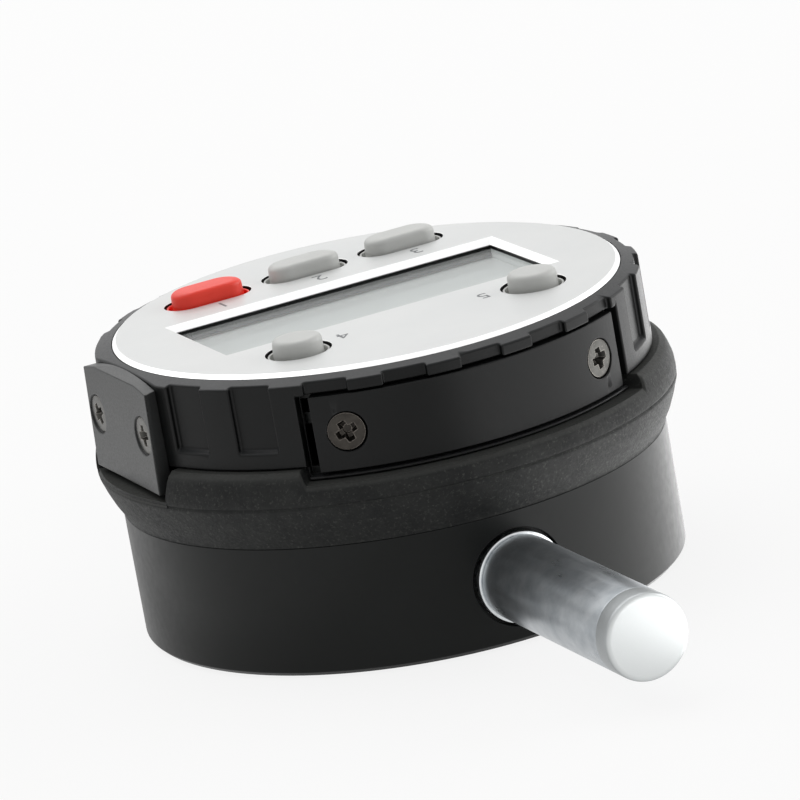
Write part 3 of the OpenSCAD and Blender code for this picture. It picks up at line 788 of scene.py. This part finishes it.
@dataclass
class RearCase(Assembly):
    """The case, its back, the stem and the dust cap with its bush."""

    stem_r: float = 4.0
    stem_end: float = -47.05
    stem_bore: float = 2.85
    stem_foot: float = -29.8
    foot_step: float = 0.2
    chamfer: float = 0.35
    bush_bore: float = 2.28
    bush_len: float = 8.0
    thread_r: float = 3.45
    boss: float = 21.55
    ring_r: float = 4.89
    ring_low: float = 28.15
    ring_top: float = 29.9
    neck_end: float = 34.9
    fit: float = 0.03
    cap_r: float = 4.59
    cap_bore: float = 3.39
    cap_low: float = 29.95
    cap_end: float = 59.45
    plug_len: float = 2.6
    plug_in: float = 1.2
    post_at: float = 24.25
    screw_sink: float = 0.07
    screw_len: float = 7.0
    screw_turns: tuple[float, ...] = (12, 58, -20, 35)

    def build(self) -> None:
        """Makes and dresses every piece of the sub-assembly."""
        refined = self.dresser.refined
        refined("rear_case", "case_shell", "base", "case_paint", "satin_lacquer_on_zinc", 0.1,
                grip_r=29.0)
        refined("back_cover", "back_plate", "base", "back_paint", "satin_lacquer_on_zinc", 0.12,
                grip_r=27.5)
        self.back_screws()
        self.stem()
        self.cap()

    def back_screws(self) -> None:
        """Four countersunk screws in the back, each stopped at its own angle."""
        flip = Matrix.Rotation(math.pi, 4, "X")
        places = []
        for angle, turn in zip(np.radians([45, 135, 225, 315]), self.screw_turns):
            middle = (self.post_at * math.cos(angle), self.post_at * math.sin(angle),
                      self.screw_sink)
            places.append((Matrix.Translation(middle) @ flip, turn))
        screws = CrossScrews(length=self.screw_len).group("back_screw_set", places)
        self.dresser.place(screws, "base", "screw_steel", "zinc_plated_steel", "back_screws")

    def stem(self) -> None:
        """The clamping stem and the brass bush inside its end."""
        r, end, bore = self.stem_r, self.stem_end, self.stem_bore
        foot_r = r + self.foot_step
        self.dresser.lathed(
            "clamping_stem", "stem", ("base", "stem_steel", "ground_steel"),
            [(bore, end), (r - self.chamfer, end), (r, end + self.chamfer), (r, self.stem_foot),
             (foot_r, self.stem_foot), (foot_r, -self.boss), (bore, -self.boss)],
            [0.05, 0.12, 0.12, 0.05, 0.06, 0.05, 0.05])
        low, top = end + 0.2, end + self.bush_len
        self.dresser.lathed(
            "stem_bearing", "stem_bush", ("base", "bush_brass", "bearing_brass"),
            [(self.bush_bore, low), (bore, low), (bore, top), (self.bush_bore, top)], 0.12)

    def cap(self) -> None:
        """The screwed-in bush with its bright ring, the tube and the end plug."""
        r, bore, bush, neck_r = self.cap_r, self.cap_bore, self.bush_bore, self.cap_bore - self.fit
        self.dresser.lathed(
            "cap_bearing", "cap_bush", ("base", "cap_aluminium", "faced_aluminium"),
            [(bush, self.boss), (self.thread_r, self.boss), (self.thread_r, self.ring_low),
             (self.ring_r, self.ring_low), (self.ring_r, self.ring_top),
             (neck_r, self.ring_top), (neck_r, self.neck_end), (bush, self.neck_end)],
            [0.1, 0.1, 0.05, 0.05, 0.2, 0.05, 0.3, 0.15])
        joint = self.cap_end - self.plug_len
        self.dresser.lathed(
            "cap_tube", "dust_cap", ("base", "cap_aluminium", "satin_anodised_tube"),
            [(bore, self.cap_low), (r, self.cap_low), (r, joint), (bore, joint)],
            [0.05, 0.12, 0.09, 0.05])
        inside = joint - self.plug_in
        self.dresser.lathed(
            "cap_plug", "cap_end", ("base", "cap_aluminium", "blasted_aluminium"),
            [(0, inside), (neck_r, inside), (neck_r, joint), (r, joint), (r, self.cap_end),
             (0, self.cap_end)], [0, 0.1, 0.05, 0.09, 0.55, 0], 9)


@dataclass
class Plunger(Assembly):
    """The spindle with its contact point and ball."""

    radius: float = 2.25
    low: float = -61.75
    # Stays 1.5 short of the plug when the spindle is fully in.
    top: float = 41.45
    thread_r: float = 1.25
    thread_deep: float = 5.0
    point_len: float = 7.0
    ball_r: float = 1.5
    columns: int = 96

    def build(self) -> None:
        """Makes and dresses every piece of the sub-assembly.

        The ball's profile is half a circle, (R cos t, tip + R sin t).
        """
        r, low, hole = self.radius, self.low, self.thread_r
        deep = low + self.thread_deep
        self.dresser.lathed(
            "spindle_rod", "spindle", ("spindle_set", "spindle_steel", "ground_steel"),
            [(0, deep), (hole, deep), (hole, low), (r, low), (r, self.top), (0, self.top)],
            [0, 0.05, 0.1, 0.3, 0.4, 0], 6, self.columns)
        tip, waist, stud = low - self.point_len, r - 0.1, hole - 0.03
        self.dresser.lathed(
            "contact_point_body", "contact_point",
            ("spindle_set", "spindle_steel", "ground_steel"),
            [(0, tip + 0.9), (hole + 0.02, tip + 0.9), (waist, low - 3.6), (waist, low - 3.2),
             (r, low - 3.1), (r, low - 0.05), (stud, low - 0.05), (stud, low + 4), (0, low + 4)],
            [0, 0.1, 0.4, 0.05, 0.1, 0.2, 0.05, 0.3, 0], 6, self.columns)
        sweep = np.linspace(-np.pi / 2, np.pi / 2, 33)
        arc = np.stack([self.ball_r * np.cos(sweep), tip + self.ball_r * np.sin(sweep)], axis=-1)
        self.dresser.place(turned("contact_tip_ball", arc, False, 64), "spindle_set",
                           "ball_chrome", "polished_carbide", "contact_ball")


@dataclass
class ReturnSpring(Assembly):
    """The coil spring between the carrier and the upper boss."""

    wire: float = 0.25
    coil: float = 2.8
    start: float = 4.35
    end: float = 21.2
    turns: float = 7.0
    per_turn: int = 44
    sides: int = 12

    def build(self) -> None:
        """Carries a circle of wire along a helix, closed at both ends.

        The middle line is (R cos t, y0 + rise t, R sin t), and the wire's circle
        lies across it. Near the ends the circle shrinks to a point.
        """
        count = round(self.per_turn * self.turns)
        share = np.concatenate([[0, 0], np.linspace(0, 1, count), [1, 1]])[:, None]
        size = np.concatenate([[0, 0.7], np.ones(count), [0.7, 0]])[:, None] * self.wire
        turn = 2 * np.pi * self.turns * share
        ring = circle(self.sides)
        radius = self.coil + size * np.cos(ring)
        along = self.start + (self.end - self.start) * share + size * np.sin(ring)
        grid = np.stack([radius * np.cos(turn), along, radius * np.sin(turn) + SPINDLE_Z], axis=-1)
        spring = self.dresser.place(grid_mesh("coil_spring", grid, False, True), "base",
                                    "screw_steel", "spring_steel_wire", "return_spring")
        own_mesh(spring)


@dataclass
class SealCollar(Assembly):
    """The rubber collar over the joint, cut away under both covers."""

    inner: float = 28.4
    case_r: float = 29.55
    low: float = 14.15
    top: float = 22.58
    step: float = 21.15
    step_half: float = 38.9
    step_ramp: float = 1.6
    notch: float = 19.3
    notch_half: float = 9.2
    notch_slope: float = 8.0
    # Where the notch's sides lie, in degrees from +X.
    notch_at: float = 18.3
    # Height of the mould's seam, with the depth and the width of its groove.
    seam: float = 19.0
    seam_deep: float = 0.13
    seam_wide: float = 0.12
    # How far the top edge draws in, over what height, and its rounding.
    lip_deep: float = 0.22
    lip_wide: float = 0.3
    rim: float = 0.15
    bulge: float = 2.0
    # The bulge's heights, and the share of it that stands out at each.
    bulge_z: tuple[float, ...] = (14.3, 14.7, 15.8, 17.2, 18.7, 19.6, 20.5, 21.7, 22.4, 22.6)
    bulge_out: tuple[float, ...] = (0.02, 0.12, 0.42, 0.72, 0.98, 1.0, 0.95, 0.76, 0.58, 0.42)
    # Keeps the waves inside the solid.
    inset: float = 0.035
    # For each wave: how often it goes round, how much it leans with height, and its size.
    wave_set: tuple[tuple[int, float, float], ...] = (
        (9, 0.7, 0.012), (23, 1.9, 0.008), (61, 3.3, 0.006), (127, 5.1, 0.004))
    columns: int = 900
    rows: int = 72

    def top_at(self, angle: Array) -> Array:
        """Height of the collar's upper edge round the dial.

        It drops to the step over the battery's arc along 3 t^2 - 2 t^3, and to
        the notch where |y| is small on the +X side, with sloped sides.

        Args:
            angle: Radians from +X.

        Returns:
            The height at each angle.
        """
        off = np.abs((np.degrees(angle) - 90 + 180) % 360 - 180)
        ramp = np.clip((off - self.step_half) / self.step_ramp, 0, 1)
        top = self.step + (self.top - self.step) * ramp * ramp * (3 - 2 * ramp)
        side = np.where(np.cos(angle) > 0, np.abs(self.case_r * np.sin(angle)), 99)
        rise = self.notch + (side - self.notch_half) * self.notch_slope
        return np.minimum(top, np.maximum(self.notch, rise))

    def outer_at(self, height: Array) -> Array:
        """Radius of the outer face: the bulge's shares, joined and smoothed by a window.

        Args:
            height: Heights over the back.

        Returns:
            The radius at each height.
        """
        out = self.case_r + self.bulge * np.array(self.bulge_out)
        dense = np.linspace(self.bulge_z[0], self.bulge_z[-1], 400)
        kernel = np.hanning(41)
        padded = np.pad(np.interp(dense, self.bulge_z, out), 20, "edge")
        smooth = np.convolve(padded, kernel / kernel.sum(), "valid")
        return np.interp(height, dense, smooth) - self.inset

    def waves(self, angle: Array, height: Array) -> Array:
        """Unevenness of the moulding: a few sine waves of seeded phase, summed.

        Args:
            angle: Radians round the dial.
            height: Heights over the back.

        Returns:
            What is added to the radius at each point.
        """
        rng = np.random.default_rng(7)
        total = np.zeros(np.broadcast_shapes(angle.shape, height.shape))
        for count, tall, size in self.wave_set:
            total += size * np.sin(count * angle + tall * height + rng.uniform(0, 6.28))
        return total

    def build(self) -> None:
        """Carries the section round the dial, with finer columns at its steps.

        Point (u, v) is (r cos v, r sin v, z). The wall's r is the bulge with its
        waves, less a bell-shaped groove at the seam and a soft lip at the top. A
        quarter turn leads over to the plain inner wall.
        """
        steps = np.radians([90 - self.step_half, 90 + self.step_half, self.notch_at,
                            -self.notch_at])
        near = (steps[:, None] + np.radians(np.linspace(-1.7, 1.7, 60))).ravel() % (2 * np.pi)
        angle = np.unique(np.concatenate([circle(self.columns), near]))[None, :]
        top = self.top_at(angle)
        height = self.low + (top - self.low) * np.linspace(0, 1, self.rows)[:, None]
        groove = self.seam_deep * np.exp(-((height - self.seam) / self.seam_wide) ** 2)
        lip = self.lip_deep * np.exp(-((top - height) / self.lip_wide) ** 2)
        outer = self.outer_at(height) + self.waves(angle, height) - groove - lip
        roll = np.linspace(0, 1, 7)[1:-1, None]
        rim = np.minimum(self.rim, 0.5 * (outer[-1:] - self.inner))
        over_r = outer[-1:] - rim * np.sin(roll * np.pi / 2)
        over_z = top + 0.02 * np.sin(roll * np.pi)
        inner = np.full_like(top, self.inner)
        r = np.concatenate([outer, over_r, inner, inner])
        z = np.concatenate([height, over_z, top, np.full_like(top, self.low)])
        grid = np.stack([r * np.cos(angle), r * np.sin(angle), z], axis=-1)
        self.dresser.place(grid_mesh("rubber_collar", grid, True, True), "head",
                           "collar_rubber", "dusty_nitrile_painted_top_light", "seal_collar")


@dataclass
class Keys(Assembly):
    """The five silicone keys, each a soft crowned pad on a flange."""

    round_d: float = 5.4
    long_l: float = 8.3
    long_w: float = 4.0
    top: float = 33.99
    crown: float = 0.05
    wall_lean: float = 0.06
    flange_out: float = 0.6
    lip_in: float = 0.36
    flange_low: float = 29.4
    flange_top: float = 30.3
    lip: float = 32.18
    plunger_r: float = 1.2
    plunger_low: float = 28.95
    columns: int = 96
    # For each key: its place on the face, and whether it is long.
    plan: dict[str, tuple[float, float, bool]] = field(default_factory=lambda: {
        "power": (11.6, -16.5, True), "mode": (0.0, -16.5, True), "unit": (-11.6, -16.5, True),
        "zero": (13.7, 13.5, False), "tolerance": (-13.7, 13.5, False)})

    def pad(self, name: str, x: float, y: float, half: float, radius: float) -> bpy.types.Object:
        """Builds one key from rings that shrink and rise.

        A ring of radius r is (±half + r cos v, r sin v), so with half = 0 the
        key is round and otherwise it has straight sides. The wall leans in
        slightly, the top edge is rounded, and the top is crowned. A thin lip
        stands on the flange's rim and closes the gap in the face.

        Args:
            name: The piece's name.
            x: Its place across the face.
            y: Its place along the face.
            half: Half of the straight part's length.
            radius: The radius of its ends.

        Returns:
            The key.
        """
        flange_r, lip_r = radius + self.flange_out, radius + self.lip_in
        profile = rounded([(0, self.plunger_low), (self.plunger_r, self.plunger_low),
                           (self.plunger_r, self.flange_low), (flange_r, self.flange_low),
                           (flange_r, self.lip), (lip_r, self.lip), (lip_r, self.flange_top),
                           (radius, self.flange_top),
                           (radius - self.wall_lean, self.top - self.crown),
                           (0.35 * radius, self.top), (0, self.top)],
                          [0, 0.1, 0.1, 0.1, 0.1, 0.1, 0.1, 0.15, 0.68, 0.5, 0], 9)
        angle = circle(self.columns) + np.pi / self.columns
        r = profile[:, :1]
        reach = np.minimum(1, r / radius) * half
        rise = np.broadcast_to(profile[:, 1:], (len(profile), self.columns))
        grid = np.stack([x + reach * np.sign(np.cos(angle)) + r * np.cos(angle),
                         y + r * np.sin(angle), rise], axis=-1)
        return grid_mesh(name, grid, False, True)

    def build(self) -> None:
        """Makes all five keys and sets each on its own body."""
        for key, (x, y, long) in self.plan.items():
            half = (self.long_l - self.long_w) / 2 if long else 0.0
            radius = (self.long_w if long else self.round_d) / 2
            dye = "red" if key == "power" else "grey"
            self.dresser.place(self.pad(f"{key}_pad", x, y, half, radius), f"{key}_key",
                               f"button_{dye}", f"{dye}_silicone", f"{key}_button")


@dataclass
class DisplayHead(Assembly):
    """The turning head with its face, collar, keys, covers and screws."""

    screw_angle: float = 29.9
    screw_r: float = 29.3
    screw_z: float = 26.08
    data_face: float = 29.67
    data_screw_y: float = 6.4
    number_size: float = 2.9
    ink: float = 0.004
    ink_z: float = 32.406
    # Where each plain number stands on the face.
    numbering: dict[str, tuple[float, float]] = field(default_factory=lambda: {
        "1": (11.6, -12.3), "2": (0.0, -12.3), "3": (-11.6, -12.3), "4": (8.2, 12.6),
        "5": (-8.2, 12.6)})

    def build(self) -> None:
        """Makes and dresses every piece of the sub-assembly."""
        refined = self.dresser.refined
        refined("head_case", "head_shell", "head", "case_paint", "etched_nylon_moulding", 0.22, 3,
                27.9)
        refined("face_plate", "face_sheet", "head", "face_aluminium", "anodised_aluminium_sheet",
                0.05)
        refined("battery_cover", "battery_lid", "head", "cover_plastic", "fine_nylon_moulding",
                0.14, grip_r=29.2)
        refined("data_cover", "data_lid", "head", "cover_plastic", "rubbed_nylon_moulding",
                0.12, grip_r=29.55)
        self.screws()
        SealCollar(self.dresser).build()
        Keys(self.dresser).build()
        self.numbers()

    def screws(self) -> None:
        """The cross-recess screws of both covers.

        Each frame's Z points away from the dial's axis, and the frames of the
        battery cover are turned round that axis.
        """
        outward = Matrix.Rotation(math.radians(90), 4, "Y")
        lid = [(Matrix.Rotation(math.radians(90 + side * self.screw_angle), 4, "Z")
                @ Matrix.Translation((self.screw_r, 0, self.screw_z)) @ outward, turn)
               for side, turn in ((-1, 25), (1, 8))]
        data = [(Matrix.Translation((self.data_face, side * self.data_screw_y, self.screw_z))
                 @ outward, turn) for side, turn in ((-1, 30), (1, 8))]
        sets = [("battery_lid_screw_near", lid[:1], "black_oxide_steel", ["battery_screws"]),
                ("battery_lid_screw_far", lid[1:], "worn_oxide_steel", []),
                ("data_lid_screws", data, "worn_oxide_steel", ["data_screws"])]
        for name, places, finish, replaced in sets:
            self.dresser.place(CrossScrews().group(name, places), "head", "dark_screw", finish,
                               *replaced)

    def numbers(self) -> None:
        """Plain key numbers, printed on the face beside the keys."""
        things = []
        for text, (x, y) in self.numbering.items():
            curve = bpy.data.curves.new(f"number_{text}", "FONT")
            curve.body, curve.size, curve.extrude = text, self.number_size * MM, self.ink * MM
            curve.align_x, curve.align_y = "CENTER", "CENTER"
            lettered = linked(f"number_{text}", curve)
            bpy.context.view_layer.update()
            mesh = bpy.data.meshes.new_from_object(lettered)
            bpy.data.objects.remove(lettered)
            mesh.transform(Matrix.Translation((x * MM, y * MM, self.ink_z * MM)))
            things.append(smoothed(f"number_{text}_ink", mesh))
        self.dresser.place(joined("key_numbers", things), "head", "dark_plastic",
                           "printed_grey_ink")


@dataclass
class Insides(Assembly):
    """Solids that stay as they are and only get their finish."""

    finishes: dict[str, str] = field(default_factory=lambda: {
        "guide_rail": "natural_acetal", "guide_screws": "zinc_plated_steel",
        "reader_board": "solder_mask_laminate", "reader_screws": "zinc_plated_steel",
        "swivel_ring": "machined_aluminium", "ring_screws": "zinc_plated_steel",
        "stop_pin": "ground_steel", "scale_carrier": "machined_aluminium",
        "scale_strip": "solder_mask_laminate", "guide_pin": "ground_steel",
        "lcd_lens": "clear_acrylic_window", "lcd_panel": "display_polariser",
        "lcd_frame": "white_abs_moulding", "main_board": "black_mask_laminate",
        "board_screws": "zinc_plated_steel", "switches": "dark_abs_moulding",
        "battery_tray": "dark_abs_moulding", "coin_cell": "nickel_plated_cell",
        "battery_contact": "bearing_brass", "data_socket": "dark_abs_moulding"})

    def build(self) -> None:
        """Paints each carried-over solid."""
        for node, finish in self.finishes.items():
            self.dresser.paint(self.dresser.nodes[node], finish)
            LOG.info("%s: carried over, %s", node, finish)


@dataclass(frozen=True)
class SoftLamp:
    """A soft lamp that can't be seen itself, in metres and watts."""

    name: str
    place: Point
    aim: Point
    wide: float
    tall: float
    power: float

    def build(self) -> None:
        """Hangs the lamp at its place and turns it to its aim."""
        light = bpy.data.lights.new(self.name, "AREA")
        light.shape, light.energy = "RECTANGLE", self.power
        light.size, light.size_y = self.wide, self.tall
        lamp = linked(self.name, light)
        lamp.visible_camera = False
        turn = (Vector(self.place) - Vector(self.aim)).to_track_quat("Z", "Y")
        lamp.matrix_world = Matrix.Translation(self.place) @ turn.to_matrix().to_4x4()


# A large box behind and above, one at the right, and two weak tables level with the floor,
# whose sweep the dark upright walls mirror.
LAMPS = (
    SoftLamp("back_softbox", (0.1, -0.55, 0.88), (0, 0, 0), 1.3, 1.1, 6.6),
    SoftLamp("right_softbox", (-0.85, 0.12, 0.3), (0, 0, 0), 0.8, 0.5, 3.2),
    SoftLamp("right_light_table", (-0.11, 0.05, -1e-4), (-0.11, 0.05, 1), 0.2, 0.35, 0.44),
    SoftLamp("left_light_table", (0.14, 0.05, -1e-4), (0.14, 0.05, 1), 0.2, 0.35, 0.1))


@dataclass
class Studio:
    """The floor, the light and the camera at the photograph's place."""

    place: Point = (238.8047, 608.7777, 199.9122)
    right: Point = (-0.898439, 0.405145, -0.169308)
    down: Point = (0.259091, 0.177828, -0.949341)
    ahead: Point = (-0.354513, -0.896791, -0.264738)
    lens: float = 284.66
    sensor: float = 36.0
    # The world's strength as light. To look at it is 1.
    grey: float = 0.38
    # How much of the floor is plain white to look at. The rest is lit paper.
    floor_white: float = 0.86
    floor_half: float = 3.0
    floor_z: float = -3e-4

    def white_share(self, nodes: Shading) -> Any:
        """Is 1 for rays of the camera, of gloss and of glass, which see plain white.

        Args:
            nodes: The nodes of the floor or the world.

        Returns:
            The output socket of the share.
        """
        path = nodes.add("LightPath").outputs
        seen = nodes.maths("MAXIMUM", path["Is Camera Ray"], path["Is Glossy Ray"])
        return nodes.maths("MAXIMUM", seen, path["Is Transmission Ray"])

    def world(self) -> None:
        """White to look at, and an even grey as light."""
        scene = bpy.context.scene
        scene.world = scene.world or bpy.data.worlds.new("studio_world")
        nodes = Shading.fresh(scene.world)
        level = nodes.mapped(self.white_share(nodes), (0, 1), self.grey, 1.0)
        sky = nodes.add("Background", {"Color": (1, 1, 1, 1), "Strength": level})
        nodes.add("OutputWorld", {"Surface": sky.outputs[0]})

    def floor(self) -> None:
        """A pale floor that keeps the shadow and can't be seen from below."""
        far, z = self.floor_half, self.floor_z
        mesh = bpy.data.meshes.new("studio_floor")
        mesh.from_pydata([(-far, -far, z), (far, -far, z), (far, far, z), (-far, far, z)],
                         [], [(0, 1, 2, 3)])
        floor = linked("studio_floor", mesh)
        material = bpy.data.materials.new("pale_paper_sweep")
        nodes = Shading.fresh(material)
        paper = nodes.add("BsdfDiffuse", {"Color": linear("#f2f2f1")}).outputs[0]
        glow = nodes.add("Emission", {"Color": (1, 1, 1, 1), "Strength": 1.0}).outputs[0]
        share = nodes.maths("MULTIPLY", self.white_share(nodes), self.floor_white)
        top = nodes.add("MixShader", {0: share, 1: paper, 2: glow}).outputs[0]
        under = nodes.add("NewGeometry").outputs["Backfacing"]
        nothing = nodes.add("BsdfTransparent").outputs[0]
        both = nodes.add("MixShader", {0: under, 1: top, 2: nothing})
        nodes.add("OutputMaterial", {"Surface": both.outputs[0]})
        mesh.materials.append(material)

    def camera(self) -> None:
        """Stands the camera where the photograph was taken from."""
        data = bpy.data.cameras.new("photo_camera")
        data.lens, data.sensor_width = self.lens, self.sensor
        data.clip_start, data.clip_end = 0.01, 20
        camera = linked("photo_camera", data)
        up, back = -np.array(self.down), -np.array(self.ahead)
        turn = Matrix(np.stack([self.right, up, back], axis=1).tolist()).to_4x4()
        camera.matrix_world = Matrix.Translation(np.array(self.place) * MM) @ turn
        bpy.context.scene.camera = camera

    def build(self) -> None:
        """Sets up the whole studio."""
        bpy.context.scene.view_settings.view_transform = "Standard"
        self.world()
        self.floor()
        for lamp in LAMPS:
            lamp.build()
        self.camera()


def main() -> None:
    """Builds the classes in order and reports each piece."""
    logging.basicConfig(level=logging.INFO, format="%(message)s")
    for thing in list(bpy.data.objects):
        bpy.data.objects.remove(thing)
    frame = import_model()
    dresser = Dresser(frame["nodes"])
    for kind in (RearCase, Plunger, ReturnSpring, DisplayHead, Insides):
        kind(dresser).build()
    Studio().build()


if __name__ == "__main__":
    main()
